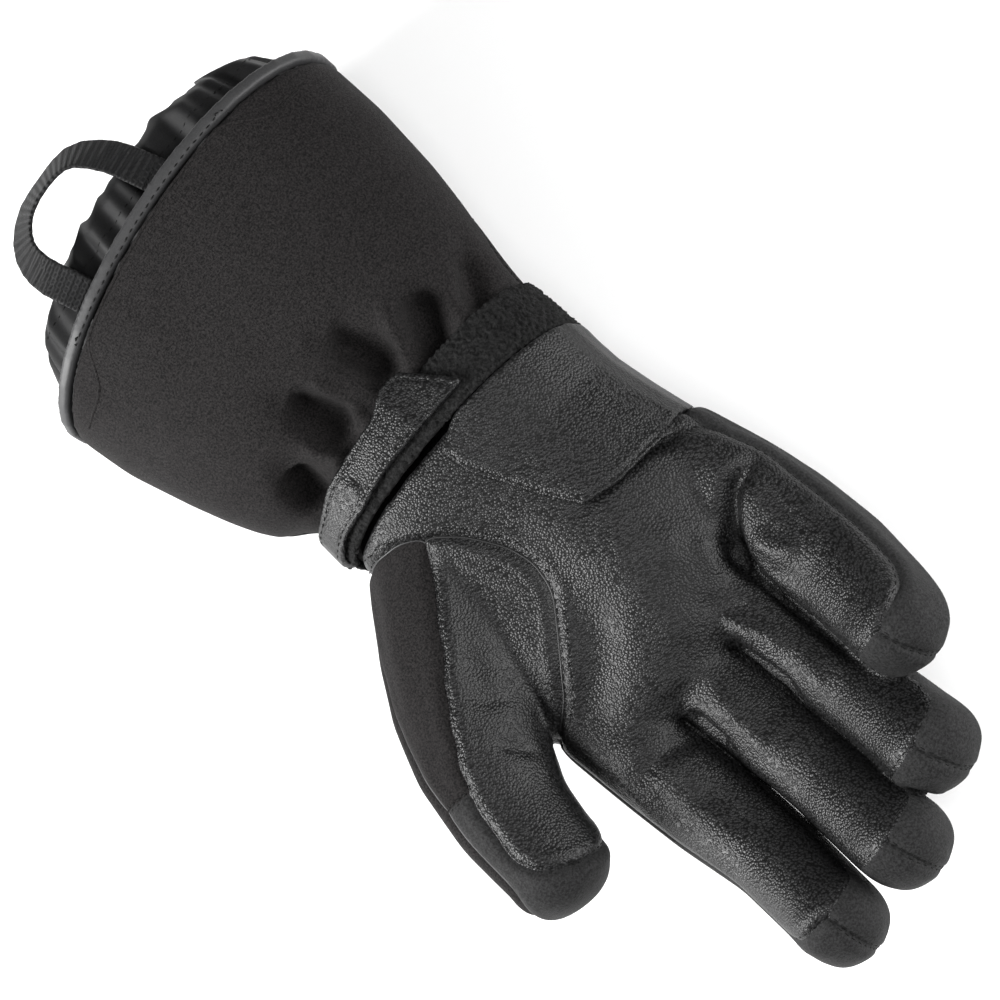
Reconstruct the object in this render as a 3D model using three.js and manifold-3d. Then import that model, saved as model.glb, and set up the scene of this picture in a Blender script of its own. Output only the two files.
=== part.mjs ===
// Right-hand heated gauntlet glove, lying on its back with the palm up.
// +Y runs from the cuff to the fingertips, +X to the thumb side and +Z up out of the palm, and
// the seam at the wrist crosses y = 0. Lengths are in millimetres. A table's lengths are shares
// of the named sizes that it follows. Left is the little-finger side.
import * as THREE from "three";
import Module from "manifold-3d";

const wasm = await Module();
wasm.setup();

// Driving dimensions of the hand
const palmWidth = 116;
const palmLength = 108; // from the wrist seam to the crotch between index and middle finger
const palmThick = 52;
const fingerLength = 127; // index finger, from its root inside the palm to the tip
const fingerWidth = 28;
const fingerThick = 31;
const fingerCurl = 34; // degrees that a finger has turned up at its tip
const thumbReach = 104; // how far along the hand the last point of the thumb's centre line lies
const thumbWidth = 36;
const thumbThick = 33;
const handWall = 3.4; // leather or softshell with its padding and lining
const heelPadThick = 2.2;

// Driving dimensions of the gauntlet and of what is on it
const wristWidth = 104;
const wristThick = 54;
const gauntletLength = 114;
const gauntletWidth = 150;
const gauntletThick = 77;
const gauntletWall = 2.2;
const bindingWidth = 3.8;
const bindingProud = 0.6; // how far the edge binding stands out past the wall on each side
const tapeWidth = 18;
const tapeThick = 1.5;
const tabThick = 2;
const tabWrap = 26; // how far the strap tab reaches down round the thumb side
const innerCuffReach = 20; // how far the inner cuff comes out past the gauntlet's edge
const innerCuffDepth = 45; // how far it goes back inside the gauntlet
const innerCuffWall = 1.2;
const loopWidth = 12;
const loopThick = 1.3;
const loopReach = 47; // how far the pull loop comes out past the gauntlet's edge
const loopSpread = 42; // between the middles of the loop's two ends
const seamGap = 0.35; // between panels that are sewn edge to edge
const besideGap = 3 * seamGap; // between a finger and the next

// The hand body from the wrist to the crotches. Heights are shares of the palm's thickness, and
// wrist says how much of the wrist's own section is in it.
const palmSections = [
  { at: 0.0, wrist: 1.0, left: 0.88, right: 0.88, top: 1.1, middle: 0.6, bottom: 0.1 },
  { at: 0.08, wrist: 0.5, left: 0.87, right: 0.86, top: 1.1, middle: 0.56, bottom: -0.02 },
  { at: 0.2, wrist: 0.0, left: 0.87, right: 0.85, top: 1.05, middle: 0.53, bottom: -0.02 },
  { at: 0.33, wrist: 0.0, left: 0.88, right: 0.86, top: 1.02, middle: 0.5, bottom: -0.02 },
  { at: 0.46, wrist: 0.0, left: 0.9, right: 0.9, top: 1.0, middle: 0.49, bottom: -0.02 },
  { at: 0.6, wrist: 0.0, left: 0.94, right: 0.96, top: 0.96, middle: 0.48, bottom: -0.02 },
  { at: 0.72, wrist: 0.0, left: 0.99, right: 1.01, top: 0.92, middle: 0.47, bottom: -0.015 },
  { at: 0.84, wrist: 0.0, left: 0.98, right: 1.0, top: 0.87, middle: 0.47, bottom: 0.0 },
  { at: 0.94, wrist: 0.0, left: 0.95, right: 0.97, top: 0.81, middle: 0.47, bottom: 0.06 },
  { at: 1.0, wrist: 0.0, left: 0.86, right: 0.9, top: 0.72, middle: 0.47, bottom: 0.2 },
];
const crotchFall = { share: 0.27, from: 0.02, to: -0.45 }; // the palm ends sooner on the left
const sideSeamHeight = 0.42; // of the seam between palm leather and back, in palm thicknesses

// Hollows and creases in the palm leather. Across, along, wide and long are shares of the palm's
// width and length, deep is a share of its thickness, and turn is in degrees.
const palmDents = [
  { across: 0.16, along: 0.5, wide: 0.1, long: 0.26, turn: -12, deep: 0.085 },
  { across: -0.3, along: 0.8, wide: 0.035, long: 0.13, turn: 28, deep: 0.05 },
  { across: -0.33, along: 0.55, wide: 0.16, long: 0.035, turn: 14, deep: 0.03 },
  { across: 0.02, along: 0.98, wide: 0.03, long: 0.12, turn: 0, deep: 0.06 },
  { across: 0.21, along: 0.98, wide: 0.03, long: 0.13, turn: 0, deep: 0.07 },
  { across: 0.34, along: 0.72, wide: 0.1, long: 0.05, turn: 35, deep: 0.05 },
];

// Each finger: where its root lies across and along the palm and above the floor, in shares of
// the palm's sizes, how it leans at its root and turns on to its tip, how it rolls, all in
// degrees, its length, and its half-sizes in shares of half the finger's width and thickness.
const fingers = [
  {
    name: "index", across: 0.37, along: 0.74, height: 0.47, lean: 0, turn: 0, roll: 3, length: 1,
    sections: [
      { at: 0.0, left: 1.1, right: 1.15, front: 1.05, back: 1.0 },
      { at: 0.3, left: 1.12, right: 1.2, front: 1.06, back: 1.0 },
      { at: 0.45, left: 1.1, right: 1.16, front: 1.02, back: 1.0 },
      { at: 0.6, left: 1.06, right: 1.0, front: 0.97, back: 1.0 },
      { at: 0.8, left: 0.98, right: 1.0, front: 1.0, back: 1.0 },
      { at: 1.0, left: 1.02, right: 1.06, front: 1.0, back: 1.0 },
    ],
  },
  {
    name: "middle", across: 0.11, along: 0.75, height: 0.46, lean: 0, turn: -1, roll: -2, length: 1,
    sections: [
      { at: 0.0, left: 1.0, right: 0.96, front: 1.02, back: 1.0 },
      { at: 0.35, left: 1.04, right: 0.92, front: 1.04, back: 1.0 },
      { at: 0.6, left: 1.08, right: 0.98, front: 0.97, back: 1.0 },
      { at: 0.8, left: 1.02, right: 1.06, front: 1.0, back: 1.0 },
      { at: 1.0, left: 1.14, right: 1.04, front: 1.0, back: 1.0 },
    ],
  },
  {
    name: "ring", across: -0.12, along: 0.74, height: 0.47, lean: 0, turn: -4, roll: -6, length: 0.915,
    sections: [
      { at: 0.0, left: 1.0, right: 0.98, front: 1.02, back: 1.0 },
      { at: 0.35, left: 1.02, right: 0.92, front: 1.04, back: 1.0 },
      { at: 0.6, left: 1.02, right: 0.9, front: 0.97, back: 1.0 },
      { at: 0.8, left: 1.06, right: 0.98, front: 1.0, back: 1.0 },
      { at: 1.0, left: 1.2, right: 1.1, front: 1.0, back: 1.0 },
    ],
  },
  {
    name: "little", across: -0.36, along: 0.48, height: 0.54, lean: -4, turn: 11, roll: -14,
    length: 0.905,
    sections: [
      { at: 0.0, left: 1.0, right: 1.1, front: 0.95, back: 1.0 },
      { at: 0.35, left: 1.3, right: 1.26, front: 1.02, back: 1.0 },
      { at: 0.6, left: 1.36, right: 1.18, front: 0.97, back: 1.0 },
      { at: 0.8, left: 1.26, right: 1.06, front: 0.97, back: 1.0 },
      { at: 1.0, left: 1.12, right: 1.04, front: 1.0, back: 1.0 },
    ],
  },
];
const curl = { from: 0.2, to: 0.95 }; // the stretch of a finger's length that turns up
const fingerPower = 2.5; // 2 is an ellipse, and more is boxier
const tipPower = 2.5; // 2 is a half ball, and more is blunter
const leatherSeam = 70; // degrees from straight up to the seam of a finger's palm side
const backSeam = 56; // degrees from straight down to the seam of its back
// Before the tip, in shares of half a finger's thickness: where the panels end, and how long the
// arcs are that they end in
const leatherEnds = 0.45;
const leatherRound = 1;
const backEnds = 0.3;
const backRound = 0.6;

// The thumb's centre line in shares of palm width, thumb reach and palm thickness, its half-sizes
// in shares of half its width and thickness, and the two seams of its softshell side strip, in
// degrees from straight up towards the outside.
const thumbLine = [
  { at: 0.0, across: 0.24, along: 0.06, height: 0.54, inner: 20, outer: 100 },
  { at: 0.25, across: 0.4, along: 0.27, height: 0.6, inner: 24, outer: 96 },
  { at: 0.5, across: 0.555, along: 0.49, height: 0.66, inner: 32, outer: 86 },
  { at: 0.75, across: 0.665, along: 0.69, height: 0.74, inner: 42, outer: 76 },
  { at: 0.9, across: 0.72, along: 0.86, height: 0.79, inner: 46, outer: 74 },
  { at: 1.0, across: 0.745, along: 1.0, height: 0.83, inner: 46, outer: 76 },
];
const thumbSections = [
  { at: 0.0, left: 1.5, right: 1.3, front: 1.3, back: 1.2 },
  { at: 0.25, left: 1.5, right: 1.42, front: 1.35, back: 1.2 },
  { at: 0.5, left: 1.25, right: 1.45, front: 1.3, back: 1.1 },
  { at: 0.75, left: 1.05, right: 1.25, front: 1.12, back: 1.0 },
  { at: 0.9, left: 1.0, right: 1.04, front: 1.0, back: 0.98 },
  { at: 1.0, left: 0.98, right: 0.95, front: 0.96, back: 0.95 },
];
const thumbRoll = 28; // degrees that the thumb's front is turned towards the palm
const thumbPower = 2.4;
const thumbTipPast = 1; // past its last centre point, in shares of half its thickness
const thumbTipFrom = 0.66; // where the tip piece starts, as a share of the thumb's length
const thumbFarSeam = -104; // degrees from straight up to the seam on the side of the fingers

// The thumb is set in along this seam on the palm, in shares of palm width and length,
const thumbSeam = [
  [0.5, 0.0],
  [0.4, 0.005],
  [0.305, 0.035],
  [0.235, 0.1],
  [0.17, 0.19],
  [0.122, 0.31],
  [0.112, 0.4],
  [0.145, 0.49],
  [0.21, 0.555],
  [0.29, 0.63],
  [0.37, 0.695],
  [0.5, 0.765],
];
// and along this one on the back
const thumbBackSeam = [
  [0.5, 0.0],
  [0.43, 0.28],
  [0.44, 0.55],
  [0.5, 0.765],
];
// and past them both it runs beside the index finger.
const besideIndex = [0.535, 0.93];

// The padded patch on the heel of the hand, in shares of palm width and length
const heelOutline = [
  [0.008, 0.0],
  [0.01, 0.1],
  [-0.06, 0.32],
  [-0.105, 0.43],
  [-0.22, 0.475],
  [-0.37, 0.49],
  [-0.47, 0.545],
  [-0.6, 0.62],
  [-0.6, -0.1],
  [-0.3, -0.1],
];

// The gauntlet from the wrist to its edge. Left and right say how far each side has spread from
// the wrist's width to the gauntlet's, thick the same for its thickness, bottom is the height of
// its underside in shares of the gauntlet's thickness, and lean and skew are slopes of the
// section along Z and X. Bow is how far its middle runs ahead, in shares of the length.
const gauntletSections = [
  { at: 0.0, left: 0.03, right: -0.09, thick: 0.0, bottom: 0.062, lean: -0.12, skew: -0.1, bow: 0.01 },
  { at: 0.1, left: 0.05, right: -0.14, thick: 0.0, bottom: 0.06, lean: -0.12, skew: -0.04, bow: 0.01 },
  { at: 0.2, left: 0.12, right: -0.12, thick: 0.02, bottom: 0.05, lean: -0.12, skew: -0.03, bow: 0.01 },
  { at: 0.29, left: 0.25, right: 0.33, thick: 0.26, bottom: 0.03, lean: -0.13, skew: -0.02, bow: 0.01 },
  { at: 0.4, left: 0.43, right: 0.54, thick: 0.48, bottom: 0.012, lean: -0.14, skew: 0.0, bow: 0.015 },
  { at: 0.57, left: 0.68, right: 0.74, thick: 0.7, bottom: -0.005, lean: -0.15, skew: 0.02, bow: 0.02 },
  { at: 0.79, left: 0.9, right: 0.93, thick: 0.9, bottom: -0.015, lean: -0.17, skew: 0.04, bow: 0.03 },
  { at: 1.0, left: 1.0, right: 0.97, thick: 1.0, bottom: -0.015, lean: -0.18, skew: 0.05, bow: 0.04 },
];
const gauntletPower = 2.25;

// Gathers that the strap pulls into the gauntlet. Across and wide are shares of the wrist's
// width, along and long of the gauntlet's length, deep of the wrist's thickness.
const frontGathers = [
  { across: -0.47, along: 0.27, wide: 0.06, long: 0.08, turn: -18, deep: 0.04 },
  { across: -0.31, along: 0.29, wide: 0.07, long: 0.09, turn: -14, deep: 0.07 },
  { across: -0.13, along: 0.33, wide: 0.085, long: 0.12, turn: -6, deep: 0.1 },
  { across: 0.17, along: 0.33, wide: 0.085, long: 0.11, turn: 6, deep: 0.09 },
  { across: 0.36, along: 0.28, wide: 0.07, long: 0.09, turn: 14, deep: 0.08 },
];
const backGathers = [
  { across: -0.3, along: 0.31, wide: 0.09, long: 0.1, turn: -10, deep: 0.07 },
  { across: 0.0, along: 0.33, wide: 0.09, long: 0.12, turn: 0, deep: 0.08 },
  { across: 0.28, along: 0.31, wide: 0.09, long: 0.1, turn: 10, deep: 0.07 },
];

// The gauntlet's side seams: how steeply the surface that cuts its front from its back rises to
// the right, at each share of its length
const sideSlopes = [
  { share: -0.35, slope: 0 },
  { share: 0.25, slope: -0.02 },
  { share: 2.25, slope: -0.2 },
];

// The strap tab seen from above, in shares of wrist width and gauntlet length
const tabOutline = [
  [-0.205, -0.075],
  [-0.1, -0.235],
  [-0.04, -0.245],
  [0.06, -0.212],
  [0.18, -0.215],
  [0.33, -0.215],
  [0.43, -0.195],
  [0.7, -0.17],
  [0.7, -0.055],
  [0.41, -0.1],
  [0.3, -0.09],
  [0.17, -0.095],
  [0.04, -0.085],
  [-0.1, -0.075],
  [-0.19, -0.065],
];

// The inner cuff from its hem to its inner end: its half-sizes in shares of the gauntlet's, how
// deep its ruffles are, in walls, how far its middle bulges ahead, in shares of its reach, and
// how much it has come out to the gauntlet's wall, which it is sewn to
const cuffSections = [
  { at: 0.0, width: 0.74, thick: 0.62, ruffle: 1.2, bow: 0.25, sewn: 0 },
  { at: 0.07, width: 0.81, thick: 0.7, ruffle: 1.0, bow: 0.25, sewn: 0 },
  { at: 0.18, width: 0.86, thick: 0.73, ruffle: 0.7, bow: 0.2, sewn: 0 },
  { at: 0.32, width: 0.92, thick: 0.745, ruffle: 0.3, bow: 0.1, sewn: 0 },
  { at: 0.6, width: 0.9, thick: 0.73, ruffle: 0.2, bow: 0.0, sewn: 0 },
  { at: 1.0, width: 0.9, thick: 0.73, ruffle: 0.0, bow: 0.0, sewn: 1 },
];
const ruffleWaves = [
  { count: 9, size: 0.6, phase: 0.4 },
  { count: 14, size: 0.4, phase: 1.9 },
  { count: 5, size: 0.35, phase: 2.6 },
];

// The middle of the pull loop's webbing from one end to the other, seen from above: across in
// shares of its spread, out in shares of its reach, its height in shares of the gauntlet's
// thickness, and how far the webbing is tilted there, in degrees
const loopRoute = [
  { across: -0.5, out: -0.3, height: 0.87, tilt: 0 },
  { across: -0.49, out: 0.13, height: 0.892, tilt: 0 },
  { across: -0.44, out: 0.4, height: 0.9, tilt: 12 },
  { across: -0.345, out: 0.7, height: 0.87, tilt: 28 },
  { across: -0.155, out: 0.94, height: 0.84, tilt: 44 },
  { across: 0.11, out: 1.0, height: 0.82, tilt: 52 },
  { across: 0.42, out: 0.97, height: 0.83, tilt: 46 },
  { across: 0.63, out: 0.81, height: 0.86, tilt: 34 },
  { across: 0.68, out: 0.6, height: 0.89, tilt: 18 },
  { across: 0.63, out: 0.32, height: 0.892, tilt: 4 },
  { across: 0.49, out: -0.3, height: 0.87, tilt: 0 },
];
const loopMiddle = 0.03; // of the loop across the gauntlet, as a share of its width
const loopSteps = 24;

// Helpers that read the tables
const degrees = THREE.MathUtils.degToRad;
const { lerp, clamp, smoothstep } = THREE.MathUtils;
const toThumb = new THREE.Vector3(1, 0, 0);
const up = new THREE.Vector3(0, 0, 1);
const sides = ["left", "right", "front", "back"];

// A smooth reading of a table: a function that gives all its columns at a share
function follow(rows) {
  const columns = Object.keys(rows[0]).filter((column) => column !== "at");
  const values = rows.flatMap((row) => columns.map((column) => row[column]));
  const curve = new THREE.CubicInterpolant(rows.map((row) => row.at), values, columns.length);
  return (at) => {
    const found = curve.evaluate(clamp(at, 0, 1));
    return Object.fromEntries(columns.map((column, i) => [column, found[i]]));
  };
}

// How deep a table's dents press at a point
function pressed(rows, x, y, width, length) {
  return rows.reduce((sum, row) => {
    const turn = degrees(row.turn);
    const [dx, dy] = [x - row.across * width, y - row.along * length];
    const u = (dx * Math.cos(turn) + dy * Math.sin(turn)) / (row.wide * width);
    const v = (dy * Math.cos(turn) - dx * Math.sin(turn)) / (row.long * length);
    return sum + row.deep * Math.exp(-u * u - v * v);
  }, 0);
}

// Helpers that make solids

// One closed section: a rounded box with its own half-size on each of its four sides
function section({ centre, side, upward, left, right, front, back }, power, count) {
  const bow = (v) => Math.sign(v) * Math.abs(v) ** (2 / power);
  return Array.from({ length: count }, (_, i) => {
    const turn = (i / count) * 2 * Math.PI;
    const x = bow(Math.cos(turn));
    const z = bow(Math.sin(turn));
    return centre
      .clone()
      .addScaledVector(side, x * (x > 0 ? right : left))
      .addScaledVector(upward, z * (z > 0 ? front : back));
  });
}

// A shape with all four half-sizes changed by a distance
function grown(shape, distance) {
  const sizes = sides.map((side) => [side, Math.max(shape[side] + distance, 0.5)]);
  return { ...shape, ...Object.fromEntries(sizes) };
}

// A triangle list as a solid whose faces point outwards
function solid(points, faces) {
  const vertProperties = new Float32Array(points.flatMap((p) => [p.x, p.y, p.z]));
  const make = (list) => {
    const triVerts = new Uint32Array(list.flat());
    return new wasm.Manifold(new wasm.Mesh({ numProp: 3, vertProperties, triVerts }));
  };
  const made = make(faces);
  return made.volume() < 0 ? make(faces.map(([a, b, c]) => [a, c, b])) : made;
}

// A solid through sections with the same number of points. It has flat ends, or joins up with
// its own first section when it is a ring.
function loft(rings, isRing = false) {
  const count = rings[0].length;
  const points = rings.flat();
  const faces = [];
  const spans = isRing ? rings.length : rings.length - 1;
  for (let k = 0; k < spans; k++) {
    const next = (k + 1) % rings.length;
    for (let i = 0; i < count; i++) {
      const j = (i + 1) % count;
      const [a, b] = [k * count + i, k * count + j];
      const [c, d] = [next * count + i, next * count + j];
      faces.push([a, b, d], [a, d, c]);
    }
  }
  if (isRing) return solid(points, faces);
  for (const first of [0, (rings.length - 1) * count]) {
    const rim = points.slice(first, first + count);
    const middle = rim.reduce((sum, p) => sum.add(p), new THREE.Vector3()).divideScalar(count);
    const centre = points.push(middle) - 1;
    for (let i = 0; i < count; i++) {
      const [a, b] = [first + i, first + ((i + 1) % count)];
      faces.push(first ? [a, b, centre] : [b, a, centre]);
    }
  }
  return solid(points, faces);
}

const unite = (solids) => solids.reduce((a, b) => a.add(b));
const cut = (from, ...tools) => tools.reduce((a, b) => a.subtract(b), from);

// The main body of a cut piece, without the crumbs that the cuts leave
const mainBody = (made) => made.decompose().sort((a, b) => b.volume() - a.volume())[0];

// An upright solid over an outline in plan
const far = 400;
function prism(outline, from = -far, to = far) {
  const shape = new THREE.Shape(outline.map(([x, y]) => new THREE.Vector2(x, y)));
  const geometry = new THREE.ExtrudeGeometry(shape, { depth: to - from, bevelEnabled: false });
  const position = geometry.translate(0, 0, from).getAttribute("position");
  const seen = new Map();
  const points = [];
  const corners = Array.from({ length: position.count }, (_, i) => {
    const p = new THREE.Vector3().fromBufferAttribute(position, i);
    const key = [p.x, p.y, p.z].map((v) => Math.round(v * 1e4)).join();
    if (!seen.has(key)) seen.set(key, points.push(p) - 1);
    return seen.get(key);
  });
  const faces = [];
  for (let i = 0; i < corners.length; i += 3) faces.push(corners.slice(i, i + 3));
  return solid(points, faces);
}

const everywhere = [[-far, -far], [far, -far], [far, far], [-far, far]];
const above = (height) => prism(everywhere, height, far);
const below = (height) => prism(everywhere, -far, height);
const floor = below(0);

// An outline drawn larger by a distance along its own normals
function widen(outline, distance) {
  const points = outline.map(([x, y]) => new THREE.Vector2(x, y));
  const turn = Math.sign(THREE.ShapeUtils.area(points));
  return points.map((p, i) => {
    const before = p.clone().sub(points.at(i - 1)).normalize();
    const after = points[(i + 1) % points.length].clone().sub(p).normalize();
    const along = before.add(after).normalize();
    return [p.x + along.y * distance * turn, p.y - along.x * distance * turn];
  });
}

const scaled = (outline, width, length) => outline.map(([x, y]) => [x * width, y * length]);

// Leans, skews and bows the points of a section along the glove
function settle(ring, shape) {
  for (const p of ring) {
    const round = clamp(1 - (p.x / shape.left) ** 2, 0, 1);
    p.y += shape.lean * (p.z - shape.centre.z) + shape.skew * p.x - shape.bow * round;
  }
  return ring;
}

// Gauntlet
const gauntletSides = 36;
const readGauntlet = follow(gauntletSections);

function gauntletShape(share) {
  const row = readGauntlet(share);
  const half = lerp(wristThick, gauntletThick, row.thick) / 2;
  return {
    centre: new THREE.Vector3(0, -share * gauntletLength, row.bottom * gauntletThick + half),
    side: toThumb,
    upward: up,
    left: lerp(wristWidth, gauntletWidth, row.left) / 2,
    right: lerp(wristWidth, gauntletWidth, row.right) / 2,
    front: half,
    back: half,
    lean: row.lean,
    skew: row.skew,
    bow: row.bow * gauntletLength,
  };
}

// Its ring at a share of its length, grown by a distance. The gathers move all offsets alike.
function gauntletRing(share, grow) {
  const shape = gauntletShape(share);
  const skin = settle(section(shape, gauntletPower, gauntletSides), shape);
  const ring = settle(section(grown(shape, grow), gauntletPower, gauntletSides), shape);
  ring.forEach((p, i) => {
    const rise = (skin[i].z - shape.centre.z) / shape.front;
    const gathers = rise > 0 ? frontGathers : backGathers;
    const depth = pressed(gathers, skin[i].x, -skin[i].y, wristWidth, gauntletLength);
    p.z -= depth * wristThick * rise;
  });
  return ring;
}

// A shell between two offsets from the gauntlet's outer face, through shares of its length
function gauntletShell(outside, inside, shares, innerShares = shares) {
  const outer = shares.map((share) => gauntletRing(share, outside));
  const inner = innerShares.map((share) => gauntletRing(share, inside)).reverse();
  return loft([...outer, ...inner], true);
}

// Everything above the side seams, moved up by a distance
function frontHalf(shift) {
  return loft(
    sideSlopes.map(({ share, slope }) => {
      const { z } = gauntletShape(share).centre;
      const [low, high] = [z - slope * far + shift, z + slope * far + shift];
      const corners = [[-far, low], [far, high], [far, far], [-far, far]];
      return corners.map(([x, top]) => new THREE.Vector3(x, -share * gauntletLength, top));
    }),
  );
}

const startShare = seamGap / gauntletLength;
const bindingShare = bindingWidth / gauntletLength;
const tapeShare = tapeWidth / gauntletLength;
const pastTape = tapeShare + 4 * startShare;
const outerShares = [startShare, tapeShare, pastTape, 0.24, 0.3, 0.36, 0.44, 0.57, 0.78];
const innerShares = [startShare, 0.22, 0.38, 0.6];

function gauntletWallTo(end) {
  return gauntletShell(0, -gauntletWall, [...outerShares, end], [...innerShares, end]);
}
const frontWall = gauntletWallTo(1 - bindingShare - startShare);
const backWall = gauntletWallTo(1);
const gauntletFront = mainBody(frontWall.intersect(frontHalf(seamGap / 2)));
const gauntletBack = mainBody(cut(backWall, frontHalf(-seamGap / 2), floor));

// Edge binding along the front panel
const bindingRing = gauntletShell(bindingProud, -gauntletWall - bindingProud, [1 - bindingShare, 1]);
const edgeBinding = mainBody(bindingRing.intersect(frontHalf(seamGap / 2)));

// Wrist tape and strap tab, each a shell over the gauntlet's wrist
const tapeFrom = 2 * seamGap;
const tapeRing = gauntletShell(tapeFrom + tapeThick, tapeFrom, [startShare, tapeShare - startShare]);
const tapeLowest = gauntletShape(0).centre.z - wristThick / 10;
const wristTape = mainBody(tapeRing.intersect(above(tapeLowest)));
const tabFrom = tapeFrom + tapeThick + 2 * seamGap;
const tabRing = gauntletShell(tabFrom + tabThick, tabFrom, [startShare, tapeShare, pastTape, 0.26]);
const tabLowest = gauntletShape(0).centre.z + wristThick / 4 - tabWrap;
const tabSpace = prism(scaled(tabOutline, wristWidth, gauntletLength)).intersect(above(tabLowest));
const strapTab = mainBody(tabRing.intersect(tabSpace));

// Inner cuff
const readCuff = follow(cuffSections);
const cuffSides = 50;
const cuffOuterShares = cuffSections.map((row) => row.at);
const cuffInnerShares = [1, 0.6, 0.25, 0];

function cuffRing(share, grow) {
  const row = readCuff(share);
  const out = innerCuffReach - share * (innerCuffReach + innerCuffDepth);
  const edge = gauntletShape(1);
  const beside = gauntletShape(Math.min(1 + out / gauntletLength, 1));
  const wall = grown(beside, -gauntletWall - 2 * seamGap);
  const mix = (own, sewn) => lerp(own, sewn, row.sewn);
  const height = mix(edge.centre.z, wall.centre.z);
  const shape = {
    ...edge,
    centre: new THREE.Vector3(0, -gauntletLength - out, height),
    left: mix(edge.left * row.width, wall.left),
    right: mix(edge.right * row.width, wall.right),
    front: mix(edge.front * row.thick, wall.front),
    back: mix(edge.back * row.thick, wall.back),
    lean: beside.lean,
    skew: beside.skew,
    bow: mix(row.bow * innerCuffReach, beside.bow),
  };
  const ring = section(grown(shape, grow), gauntletPower, cuffSides);
  ring.forEach((p, i) => {
    const turn = (i / cuffSides) * 2 * Math.PI;
    const wave = ruffleWaves.reduce((sum, w) => sum + w.size * Math.cos(w.count * turn + w.phase), 0);
    const outwards = p.clone().sub(shape.centre).normalize();
    p.addScaledVector(outwards, wave * row.ruffle * innerCuffWall);
  });
  return settle(ring, shape);
}

const innerCuff = loft(
  [
    ...cuffOuterShares.map((share) => cuffRing(share, 0)),
    ...cuffInnerShares.map((share) => cuffRing(share, -innerCuffWall)),
  ],
  true,
);

// Pull loop
function makeLoop() {
  const points = loopRoute.map(
    (row) =>
      new THREE.Vector3(
        loopMiddle * gauntletWidth + row.across * loopSpread,
        -gauntletLength - row.out * loopReach,
        row.height * gauntletThick,
      ),
  );
  const curve = new THREE.CatmullRomCurve3(points);
  const read = follow(loopRoute.map((row, i) => ({ at: i / (loopRoute.length - 1), tilt: row.tilt })));
  return loft(
    Array.from({ length: loopSteps + 1 }, (_, k) => {
      const share = k / loopSteps;
      const tangent = curve.getTangent(share);
      const flat = new THREE.Vector3().crossVectors(tangent, up).normalize();
      const side = flat.applyAxisAngle(tangent, degrees(read(share).tilt));
      const normal = new THREE.Vector3().crossVectors(side, tangent);
      const corners = [[1, 1], [-1, 1], [-1, -1], [1, -1]];
      return corners.map(([u, v]) =>
        curve
          .getPoint(share)
          .addScaledVector(side, (u * loopWidth) / 2)
          .addScaledVector(normal, (v * loopThick) / 2),
      );
    }),
  );
}
const pullLoop = makeLoop();

// Hand body
const readPalm = follow(palmSections);
const palmPower = 2.5;

function palmShape(share) {
  const row = readPalm(share);
  const wrist = gauntletShape(0);
  const middle = lerp(row.middle * palmThick, wrist.centre.z, row.wrist);
  const mix = (own, wristSize) => lerp(own, wristSize, row.wrist);
  return {
    centre: new THREE.Vector3(0, share * palmLength, middle),
    side: toThumb,
    upward: up,
    left: mix((row.left * palmWidth) / 2, wrist.left),
    right: mix((row.right * palmWidth) / 2, wrist.right),
    front: mix(row.top * palmThick - middle, wrist.front),
    back: mix(middle - row.bottom * palmThick, wrist.back),
    lean: wrist.lean * row.wrist,
    skew: wrist.skew * row.wrist,
    bow: wrist.bow * row.wrist,
  };
}

function palmRing(share, grow, count) {
  const shape = palmShape(share);
  const ring = settle(section(grown(shape, grow), palmPower, count), shape);
  const late = smoothstep(share, 0.45, 1);
  for (const p of ring) {
    const rise = (p.z - shape.centre.z) / shape.front;
    p.z -= pressed(palmDents, p.x, p.y, palmWidth, palmLength) * palmThick * Math.max(rise, 0);
    const fall = 1 - smoothstep(p.x / palmWidth, crotchFall.to, crotchFall.from);
    p.y -= fall * late * crotchFall.share * palmLength;
  }
  return ring;
}

// The hand body as a closed form, grown or shrunk by a distance, from a distance past the wrist
function palmForm(grow, count, start) {
  const rings = palmSections.map((row) => palmRing(row.at, grow, count));
  for (const p of rings[0]) p.y += start;
  for (const p of rings.at(-1)) p.y += grow;
  return loft(rings);
}

// A limb is a finger or the thumb. This is its own frame at a distance from its root.
function frameOn(limb, distance) {
  const reach = limb.curve.getLength();
  const share = clamp(distance / reach, 0, 1);
  const tangent = limb.curve.getTangentAt(share);
  const centre = limb.curve.getPointAt(share).addScaledVector(tangent, distance - share * reach);
  const flat = new THREE.Vector3().crossVectors(tangent, up).normalize();
  const side = flat.applyAxisAngle(tangent, -degrees(limb.roll));
  return { centre, side, upward: new THREE.Vector3().crossVectors(side, tangent) };
}

const leastSize = 0.05; // of a section that has closed to a point
const tipSize = (step) => (1 - step ** tipPower) ** (1 / tipPower);

// The section of a limb at a distance from its root, grown or shrunk by another. Past is where it
// lies on the rounded tip, in shares of the tip's length.
function limbShape(limb, distance, grow) {
  const past = (distance - limb.length + limb.tip) / limb.tip;
  const moved = distance + grow * Math.max(past, 0);
  const sizes = limb.halfSizes(distance / limb.curve.getLength());
  const shape = grown({ ...frameOn(limb, moved), ...sizes }, grow);
  const size = past > 0 ? tipSize(Math.min(past, 1)) : 1;
  for (const side of sides) shape[side] = Math.max(shape[side] * size, leastSize);
  return shape;
}

// The point of a limb's section at an angle from its own up direction: how far across and up it
// lies, and its reach from the centre
function onLimb({ left, right, front, back }, power, angle) {
  const [x, z] = [Math.sin(angle), Math.cos(angle)];
  const flat = Math.abs(x) / (x > 0 ? right : left);
  const high = Math.abs(z) / (z > 0 ? front : back);
  const reach = (flat ** power + high ** power) ** (-1 / power);
  return { x: x * reach, z: z * reach, reach };
}
const inFrame = ({ centre, side, upward }, x, z) =>
  centre.clone().addScaledVector(side, x).addScaledVector(upward, z);

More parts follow.
